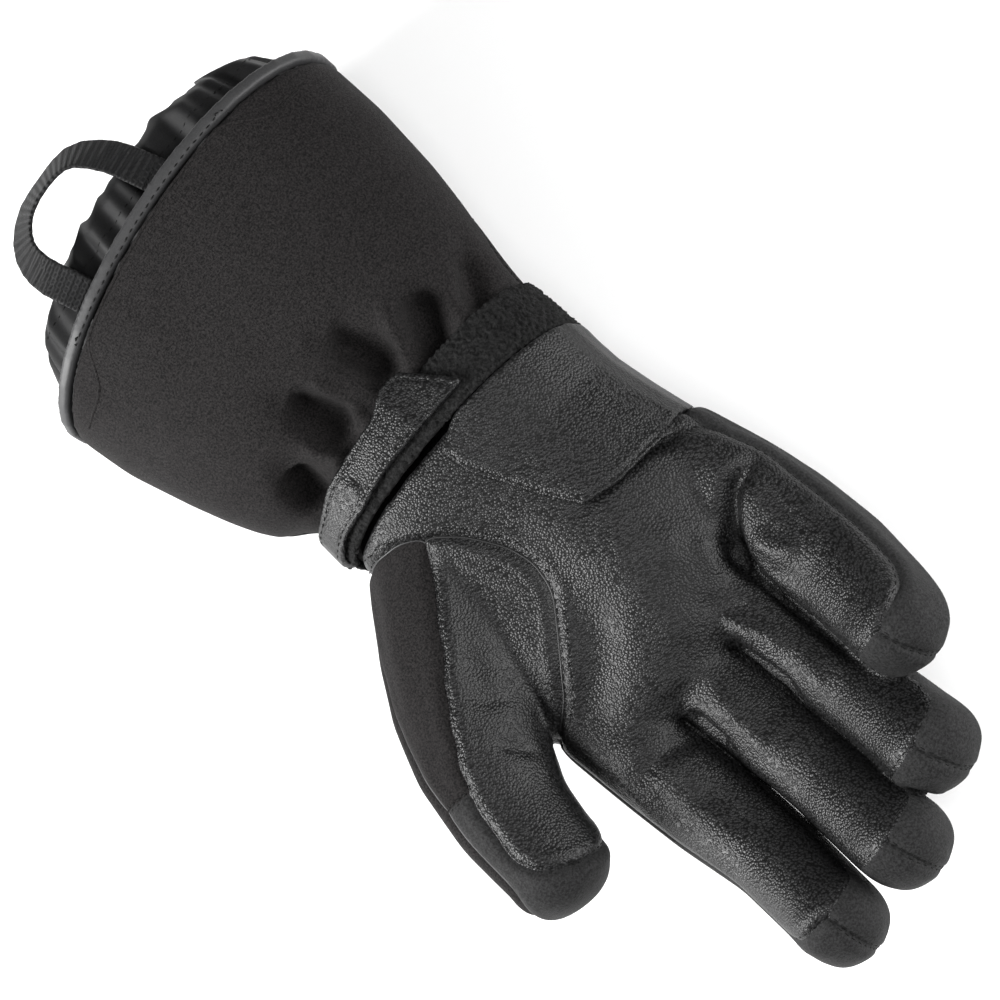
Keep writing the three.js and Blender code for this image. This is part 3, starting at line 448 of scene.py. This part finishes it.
points -= normals * (dip * MM * calm)[:, None]
write_points(hand, points)


WORN = 0.1  # how much rougher or smoother a patch may be


def material(name, dark, light, rough, scale, relief, depth, sheen=0.0, cells=False, spec=0.5):
    """A cloth or leather: mottled between two colours, with a fine relief. With cells it is pebbled."""
    made = bpy.data.materials.new(name)
    made.use_nodes = True
    nodes, links = made.node_tree.nodes, made.node_tree.links
    shader = nodes["Principled BSDF"]
    where = nodes.new("ShaderNodeTexCoord").outputs["Object"]
    if cells:
        texture = nodes.new("ShaderNodeTexVoronoi")
        texture.feature = "SMOOTH_F1"
        texture.inputs["Smoothness"].default_value = 0.12
        pebbles = nodes.new("ShaderNodeMapRange")
        pebbles.inputs["From Min"].default_value = 0.75
        pebbles.inputs["From Max"].default_value = 0.05
        links.new(texture.outputs["Distance"], pebbles.inputs["Value"])
        height = pebbles.outputs["Result"]
    else:
        texture = nodes.new("ShaderNodeTexNoise")
        texture.inputs["Detail"].default_value = 4
        texture.inputs["Roughness"].default_value = 0.7
        height = texture.outputs["Fac"]
    links.new(where, texture.inputs["Vector"])
    texture.inputs["Scale"].default_value = scale
    ramp = nodes.new("ShaderNodeValToRGB")
    ramp.color_ramp.elements[0].color = (*dark, 1)
    ramp.color_ramp.elements[1].color = (*light, 1)
    ramp.color_ramp.elements[0].position = 0.12 if cells else 0.38
    ramp.color_ramp.elements[1].position = 0.55 if cells else 0.62
    links.new(height, ramp.inputs["Fac"])
    links.new(ramp.outputs["Color"], shader.inputs["Base Color"])
    patches = nodes.new("ShaderNodeTexNoise")
    patches.inputs["Scale"].default_value = 45
    links.new(where, patches.inputs["Vector"])
    span = nodes.new("ShaderNodeMapRange")
    span.inputs["To Min"].default_value = rough - WORN
    span.inputs["To Max"].default_value = rough + WORN
    links.new(patches.outputs["Fac"], span.inputs["Value"])
    links.new(span.outputs["Result"], shader.inputs["Roughness"])
    bump = nodes.new("ShaderNodeBump")
    bump.inputs["Strength"].default_value = relief
    bump.inputs["Distance"].default_value = depth
    links.new(height, bump.inputs["Height"])
    links.new(bump.outputs["Normal"], shader.inputs["Normal"])
    shader.inputs["Sheen Weight"].default_value = sheen
    shader.inputs["Specular IOR Level"].default_value = spec
    return made


leather = material(
    "leather", dark=(0.0003, 0.0003, 0.0003), light=(0.0105, 0.0105, 0.0108),
    rough=0.42, scale=1250, relief=0.65, depth=0.0003, cells=True, spec=0.26,
)
softshell = material(
    "softshell", dark=(0.0005, 0.00045, 0.00045), light=(0.0155, 0.014, 0.014),
    rough=0.85, scale=1500, relief=0.8, depth=0.0003, sheen=0.01, spec=0.14,
)
nubuck = material(
    "nubuck", dark=(0.001, 0.001, 0.001), light=(0.017, 0.017, 0.0173),
    rough=0.75, scale=1300, relief=0.7, depth=0.0003, sheen=0.01, spec=0.2,
)
finishes = {"leather": leather, "softshell": softshell, "nubuck": nubuck}


def new_piece(name, mesh, finish, nodes=()):
    piece = bpy.data.objects.new(name, mesh)
    bpy.context.collection.objects.link(piece)
    mesh.materials.clear()
    mesh.materials.append(finish)
    if isinstance(mesh, bpy.types.Mesh):
        mesh.polygons.foreach_set("use_smooth", [True] * len(mesh.polygons))
    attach(piece, "root")
    if nodes:
        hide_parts(*nodes)
    return piece


def separated(mesh, face_piece, names):
    """Takes a mesh apart into one for each number that its faces carry."""
    whole = bpy.data.objects.new("whole", mesh)
    bpy.context.collection.objects.link(whole)
    mesh.materials.clear()
    for name in names:
        mesh.materials.append(bpy.data.materials.new(name))
    mesh.polygons.foreach_set("material_index", face_piece)
    bpy.ops.object.select_all(action="DESELECT")
    bpy.context.view_layer.objects.active = whole
    whole.select_set(True)
    bpy.ops.object.mode_set(mode="EDIT")
    bpy.ops.mesh.separate(type="MATERIAL")
    bpy.ops.object.mode_set(mode="OBJECT")
    made = {}
    for part in list(bpy.context.selected_objects):
        label = part.data.materials[part.data.polygons[0].material_index]
        made[label.name] = part.data
        bpy.data.objects.remove(part)
    for name in names:
        made[name].name = name + "_cloth"
        bpy.data.materials.remove(bpy.data.materials[name])
    return made


hand_tree = tree_of(hand)
hand_points, hand_face_panel = points, face_panel
panels = separated(hand, face_panel, hand_nodes)
for node, slot in hand_panels.items():
    piece = new_piece(node + "_panel", panels[node], finishes[slot], [node])


# Sewing thread. Black polyester, in single stitches that lie along the seams and sink a little
# into the leather. A seam is topstitched once, and twice where it goes round the thumb.
thread = material(
    "thread", dark=(0.001, 0.001, 0.001), light=(0.005, 0.005, 0.005),
    rough=0.6, scale=4000, relief=0.3, depth=0.0001, spec=0.15,
)


def stitched(name, rows, length=2.1 * MM, gap=1.1 * MM, thick=0.55 * MM):
    """Stitches along rows: each is a path and a search tree of the skin that it lies on."""
    one = bmesh.new()
    bmesh.ops.create_uvsphere(one, u_segments=6, v_segments=4, radius=0.5)
    shape = bpy.data.meshes.new("stitch")
    one.to_mesh(shape)
    one.free()
    work = bmesh.new()
    for path, tree in rows:
        path = even_path(path, length + gap)
        for start, end in zip(path, path[1:]):
            start, end = Vector(start), Vector(end)
            spot, normal, _, _ = tree.find_nearest((start + end) / 2)
            along = (end - start).normalized()
            side = along.cross(normal).normalized()
            turn = Matrix([along, side, along.cross(side)]).transposed().to_4x4()
            size = Matrix.Diagonal((length, thick, thick, 1))
            count = len(work.verts)
            work.from_mesh(shape)
            work.verts.ensure_lookup_table()
            bmesh.ops.transform(
                work, matrix=Matrix.Translation(spot) @ turn @ size, verts=work.verts[count:]
            )
    mesh = bpy.data.meshes.new(name)
    work.to_mesh(mesh)
    work.free()
    return new_piece(name, mesh, thread)


def smoothed_path(path, rounds=3):
    path = np.array(path, float)
    for _ in range(rounds):
        path[1:-1] = (path[:-2] + 2 * path[1:-1] + path[2:]) / 4
    return path


def beside(chain_points, tree, face_panel, side_panel, distance):
    """A path beside a seam, at a distance on the side of one panel, on the skin."""
    path = smoothed_path(even_path(chain_points, 1.5 * MM))
    found = []
    for i, point in enumerate(path):
        along = Vector(path[min(i + 1, len(path) - 1)] - path[max(i - 1, 0)]).normalized()
        _, normal, _, _ = tree.find_nearest(point)
        side = along.cross(normal).normalized()
        choices = []
        for way in (1, -1):
            spot, _, index, _ = tree.find_nearest(Vector(point) + side * way * distance)
            choices.append((face_panel[index] == side_panel, way, spot))
        found.append(choices)
    votes = sum(int(near[0]) - int(far[0]) for near, far in found)
    return [choices[0 if votes >= 0 else 1][2][:] for choices in found]


def uncovered(path, tree):
    """The longest stretch of a path that nothing lies over, as another finger would."""
    best, run = [], []
    for point in path:
        _, normal, _, _ = tree.find_nearest(point)
        free = tree.ray_cast(Vector(point) + normal * 1 * MM, Vector((0, 0, 1)), 60 * MM)[0] is None
        free = free and tree.ray_cast(Vector(point) + normal * 1.5 * MM, normal, 5 * MM)[0] is None
        run = run + [point] if free else []
        if len(run) > len(best):
            best = run
    return best


TOPSTITCH, SECOND_ROW = 1.3 * MM, 3.6 * MM  # from the seam
THUMB_ROW, CROSS_SEAM_ROW = 1.2 * MM, 1.0 * MM
hand_rows = []
piping_paths = []


def add_row(seam, node, distance):
    path = beside(seam, hand_tree, hand_face_panel, hand_nodes.index(node), distance)
    hand_rows.append((path, hand_tree))


for names, chains in outer_seams.items():
    for chain in chains:
        seam = smoothed_path(hand_points[chain], 4)
        kinds = {hand_panels[name] for name in names}
        if len(seam) < 14:
            continue
        if "palm_leather" in names and names != ("palm_leather", "back_shell"):
            seam = uncovered(seam, hand_tree)
            if len(seam) < 8:
                continue
            add_row(seam, "palm_leather", TOPSTITCH)
            if "thumb_leather" in names or "thumb_strip" in names:
                add_row(seam, "palm_leather", SECOND_ROW)
                piping_paths.append(seam)
        elif "thumb_leather" in names:
            add_row(seam, "thumb_leather", THUMB_ROW)
        elif {"back_shell", "thumb_back"} & set(names):
            piping_paths.append(seam)
        elif kinds in ({"nubuck"}, {"nubuck", "softshell"}):
            for name in names:
                add_row(seam, name, CROSS_SEAM_ROW)
stitched("hand_stitches", hand_rows)

# Piping. A thin cord of leather is sewn into the seams round the thumb and along the back, where
# it stands a little proud of them and keeps the thread from wear.
def tubes(name, paths, radius, finish):
    """Round cords along paths, as one piece."""
    curve = bpy.data.curves.new(name, "CURVE")
    curve.dimensions = "3D"
    curve.bevel_depth = radius
    curve.bevel_resolution = 2
    curve.use_fill_caps = True
    for path in paths:
        path = even_path(path, 1.6 * MM)
        spline = curve.splines.new("POLY")
        spline.points.add(len(path) - 1)
        for point, spot in zip(spline.points, path):
            point.co = (*spot, 1)
    return new_piece(name, curve, finish)


piping = material(
    "piping", dark=(0.006, 0.006, 0.006), light=(0.014, 0.014, 0.0145),
    rough=0.45, scale=3000, relief=0.2, depth=0.0001, spec=0.35,
)
tubes("hand_piping", piping_paths, 0.42 * MM, piping)

# Heel patch. A second layer of leather over a foam pad on the heel of the hand, topstitched round
# its edge and folded where the little finger bends.
HEEL_OUTLINE = [
    (0.0, 3.0), (-0.4, 11.0), (-7.8, 33.8), (-13.3, 44.8), (-26.0, 49.5), (-43.0, 51.2), (-54.0, 56.5),
]
patch = skin_round("heel_patch", ["heel_patch"], grid=0.55 * MM, rounds=14, puff=0.3 * MM)
patch_points, _ = read_mesh(patch)
patch_normals = normals_of(patch)
patch_tree = tree_of(patch)
fold = drawn([(600, 470), (640, 436), (690, 412)], patch_tree)
pressed(patch_points, patch_normals, fold, 6 * MM, -0.5 * MM)
hem = [point for point in (below(x, y, patch_tree) for x, y in HEEL_OUTLINE) if point]
pressed(patch_points, patch_normals, even_path(hem, 1 * MM), 1.0 * MM, -0.5 * MM, taper=0)
write_points(patch, patch_points)
patch_piece = new_piece("heel_patch_cover", patch, leather, ["heel_patch"])
stitched("heel_patch_stitches", [(hem, tree_of(patch))])

# Gauntlet. Softshell over thin wadding, a front and a back sewn together down the sides. The
# strap gathers it at the wrist into soft pleats.
GAUNTLET_PLEATS = [
    ([(466, 250), (473, 280), (480, 312)], 4.6, -5.5),
    ([(415, 292), (427, 325), (440, 358)], 6.0, -9.0),
    ([(325, 342), (360, 352), (395, 372)], 6.2, -9.0),
    ([(285, 405), (320, 415), (352, 428)], 6.0, -9.0),
    ([(288, 472), (308, 490), (328, 512)], 5.6, -9.0),
    ([(385, 305), (398, 338), (412, 368)], 3.4, 5.0),
    ([(305, 382), (335, 400), (368, 428)], 3.6, 4.6),
    ([(300, 444), (325, 454), (350, 464)], 3.4, 4.2),
    ([(445, 285), (455, 308), (465, 328)], 3.6, 1.6),
    ([(240, 180), (300, 260), (330, 320)], 22.0, 0.8),
]
SIDE_STITCH = 1.4 * MM  # from the seam, on the back
SIDE_SEAM_DEPTH, SIDE_SEAM_WIDTH = 0.9 * MM, 1.3 * MM
gauntlet_nodes = ["gauntlet_front", "gauntlet_back"]
gauntlet = skin_round("gauntlet", gauntlet_nodes, grid=0.95 * MM, rounds=30, grow=0.35 * MM)
points, edges = read_mesh(gauntlet)
fields = smoothed(distances_to(gauntlet_nodes, points), edges, 12)
gauntlet, face_panel, seams = cut_at_seams(gauntlet, fields)
points, edges = read_mesh(gauntlet)
normals = normals_of(gauntlet)
skin_tree = tree_of(gauntlet)
for path, width, height in strokes(GAUNTLET_PLEATS, skin_tree):
    pressed(points, normals, path, width, height)
side_seams = []
for chain in chained(seams[(0, 1)]):
    middle = chain[len(chain) // 2]
    if len(chain) > 40 and is_outside(points[middle], normals[middle], skin_tree):
        side_seams.append(chain)
sewn = kd_tree(np.concatenate([points[chain] for chain in side_seams]))
away = np.array([sewn.find(point)[2] for point in points])
points -= normals * (SIDE_SEAM_DEPTH * np.exp(-((away / SIDE_SEAM_WIDTH) ** 2)))[:, None]
write_points(gauntlet, points)
gauntlet_tree = tree_of(gauntlet)
seam_rows = [
    (beside(points[chain], gauntlet_tree, face_panel, 1, SIDE_STITCH), gauntlet_tree) for chain in side_seams
]
gauntlet_panels = separated(gauntlet, face_panel, gauntlet_nodes)
for node in gauntlet_nodes:
    piece = new_piece(node + "_panel", gauntlet_panels[node], softshell, [node])
stitched("gauntlet_stitches", seam_rows)

# Edge binding. Smooth grey tape folded round the front's edge and stitched along its inner side,
# with a narrow dark welt beside it.
binding = material(
    "binding", dark=(0.018, 0.018, 0.0185), light=(0.03, 0.03, 0.031),
    rough=0.5, scale=2600, relief=0.2, depth=0.0001, spec=0.3,
)
mesh = skin_round("edge_binding", ["edge_binding"], grid=0.5 * MM, rounds=10, puff=0.2 * MM)
new_piece("edge_binding_tape", mesh, binding, ["edge_binding"])
binding_tree = tree_of(mesh)


def past_binding(x, on, tree):
    """Where the binding's inner edge crosses a plan line, moved on by a distance, on a skin."""
    covered = [y for y in np.arange(-132, -96, 0.3) if below(x, y, binding_tree)]
    return below(x, covered[-1] + on, tree) if covered else None


STITCHES_ON, WELT_ON = -0.9, 1.8
stitch_line = [past_binding(x, STITCHES_ON, binding_tree) for x in range(-66, 68, 3)]
stitch_line = [point for point in stitch_line if point]
stitched("binding_stitches", [(stitch_line, binding_tree)], thick=0.6 * MM)
welt_line = [past_binding(x, WELT_ON, gauntlet_tree) for x in range(-66, 68, 3)]
welt_line = smoothed_path([point[:] for point in welt_line if point])
tubes("binding_welt", [welt_line], 0.6 * MM, softshell)

# Wrist tape. The loop half of a touch-and-close strap: black nylon loops, napped into a fuzz, sewn
# across the wrist where the gauntlet meets the palm.
fuzzy = material(
    "loop_tape", dark=(0.0002, 0.0002, 0.0002), light=(0.015, 0.015, 0.015),
    rough=0.9, scale=850, relief=1.0, depth=0.0015, spec=0.2,
)
mesh = skin_round("wrist_tape", ["wrist_tape"], grid=0.55 * MM, rounds=8, puff=0.1 * MM)
points, _ = read_mesh(mesh)
normals = normals_of(mesh)
NAP = 0.6 * MM
rough = [noise.noise(Vector(point) * 700) + noise.noise(Vector(point) * 1500) for point in points]
write_points(mesh, points + normals * (np.array(rough) * NAP)[:, None])
new_piece("wrist_tape_pile", mesh, fuzzy, ["wrist_tape"])

# Strap tab. Leather over a stiffener, with turned and stitched edges. It wraps down round the
# thumb side and has a worn fold where it is pulled.
TAB_EDGE = [
    (-18.0, -10.5), (-9.8, -24.0), (-4.0, -25.8), (6.0, -22.6), (18.7, -22.8), (34.3, -22.6),
    (44.0, -20.8), (52.0, -19.8),
]
TAB_FAR_EDGE = [
    (-18.0, -9.6), (-10.0, -10.3), (4.0, -11.5), (17.0, -12.6), (31.0, -12.0), (42.0, -13.1), (52.0, -12.0),
]
mesh = skin_round("strap_tab", ["strap_tab"], grid=0.5 * MM, rounds=10, puff=0.25 * MM)
points, _ = read_mesh(mesh)
normals = normals_of(mesh)
tab_tree = tree_of(mesh)
rows = []
for edge in (TAB_EDGE, TAB_FAR_EDGE):
    found = [point for point in (below(x, y, tab_tree) for x, y in edge) if point]
    rows.append(found)
    pressed(points, normals, even_path(found, 1 * MM), 0.8 * MM, -0.35 * MM, taper=0)
pressed(points, normals, drawn([(346, 484), (362, 495), (380, 502)], tab_tree), 2.2 * MM, 0.6 * MM)
write_points(mesh, points)
new_piece("strap_tab_cover", mesh, leather, ["strap_tab"])
tab_tree = tree_of(mesh)
stitched("strap_tab_stitches", [(row, tab_tree) for row in rows])

# Inner cuff. Thin woven nylon, gathered on an elastic at its hem, with a stitched casing. It is
# one sheet, and its gathers are folds that run back from the hem.
CUFF_CASING = 12 * MM
CUFF_FOLDS = [(17, 0.6, 0.3), (26, 0.5, 2.1), (43, 0.3, 4.0), (9, 0.5, 1.2)]  # count, size, phase
FOLD_HEIGHT, HEM_WAVE = 2.2, 1.8 * MM
woven = material(
    "woven_nylon", dark=(0.002, 0.002, 0.0022), light=(0.008, 0.008, 0.0084),
    rough=0.6, scale=3000, relief=0.3, depth=0.0001, spec=0.2,
)
mesh = skin_round("inner_cuff", ["inner_cuff"], grid=0.8 * MM, rounds=10)
points, _ = read_mesh(mesh)
normals = normals_of(mesh)
low, high = (np.array(corner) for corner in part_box("inner_cuff"))
centre = (low + high) / 2
girth = (points - centre) / (high - low)
turns = np.arctan2(girth[:, 2], girth[:, 0])
out = np.clip((points[:, 1] - low[1]) / (high[1] - low[1]), 0, 1)
radial = np.stack([np.cos(turns), np.zeros(len(turns)), np.sin(turns)], 1)
folds = np.zeros(len(points))
for count, size, phase in CUFF_FOLDS:
    wobble = 0.6 * np.sin(count * 0.37 * turns + phase * 3)
    folds += size * np.sin(count * turns + phase + wobble + 6 * out)
gathered = np.exp(-((out / 0.3) ** 2)) + 0.25 * np.exp(-(((out - 0.28) / 0.12) ** 2))
points += radial * ((folds * FOLD_HEIGHT + FOLD_HEIGHT) * gathered * MM)[:, None]
points[:, 1] += folds * np.exp(-((out / 0.12) ** 2)) * HEM_WAVE
write_points(mesh, points)
cuff = new_piece("inner_cuff_cloth", mesh, woven, ["inner_cuff"])
cuff_tree = tree_of(mesh)
casing = []
for step in range(121):
    turn = 2 * math.pi * step / 120
    way = Vector((math.cos(turn), 0, math.sin(turn)))
    axis = Vector((centre[0], low[1] + CUFF_CASING, centre[2]))
    spot = cuff_tree.ray_cast(axis + way * 0.2, -way)[0]
    if spot:
        casing.append(spot)
stitched("inner_cuff_stitches", [(casing, cuff_tree)], thick=0.4 * MM)

# Pull loop. Ribbed grosgrain webbing, both of its ends sewn in under the binding. The ribs run
# across the band, so each point of it carries how far along the band it lies.
LOOP_SPREAD, LOOP_REACH, MOUTH_HEIGHT = 42, 47, 77
RIB = 1.35
LOOP_ROUTE = [  # in shares of the spread, the reach and the mouth's height
    (-0.5, -0.3, 0.87), (-0.49, 0.13, 0.892), (-0.44, 0.4, 0.9), (-0.345, 0.7, 0.87),
    (-0.155, 0.94, 0.84), (0.11, 1.0, 0.82), (0.42, 0.97, 0.83), (0.63, 0.81, 0.86), (0.68, 0.6, 0.89),
    (0.63, 0.32, 0.892), (0.49, -0.3, 0.87),
]
webbing = material(
    "webbing", dark=(0.001, 0.001, 0.0012), light=(0.005, 0.005, 0.0054),
    rough=0.6, scale=3000, relief=0.3, depth=0.0001, spec=0.22,
)
nodes, links = webbing.node_tree.nodes, webbing.node_tree.links
along = nodes.new("ShaderNodeAttribute")
along.attribute_name = "along"
ribs = nodes.new("ShaderNodeTexWave")
ribs.inputs["Scale"].default_value = 1000 / RIB / 3.1416 / 2
ribs.inputs["Detail"].default_value = 1
links.new(along.outputs["Vector"], ribs.inputs["Vector"])
ribbed = nodes.new("ShaderNodeBump")
ribbed.inputs["Strength"].default_value = 0.9
ribbed.inputs["Distance"].default_value = 0.0006
links.new(ribs.outputs["Fac"], ribbed.inputs["Height"])
links.new(nodes["Bump"].outputs["Normal"], ribbed.inputs["Normal"])
links.new(ribbed.outputs["Normal"], nodes["Principled BSDF"].inputs["Normal"])
mesh = skin_round("pull_loop", ["pull_loop"], grid=0.4 * MM, rounds=5, puff=0.1 * MM)
points, _ = read_mesh(mesh)
ROUTE_STEP = 0.4 * MM
corners = [
    place(4.5 + x * LOOP_SPREAD, -114 - y * LOOP_REACH, z * MOUTH_HEIGHT) for x, y, z in LOOP_ROUTE
]
route_tree = kd_tree(even_path(corners, ROUTE_STEP))
steps = np.array([route_tree.find(point)[1] for point in points]) * ROUTE_STEP
carried = mesh.attributes.new("along", "FLOAT_VECTOR", "POINT")
vectors = np.stack([steps, 0 * steps, 0 * steps], 1)
carried.data.foreach_set("vector", vectors.astype(np.float32).ravel())
new_piece("pull_loop_band", mesh, webbing, ["pull_loop"])
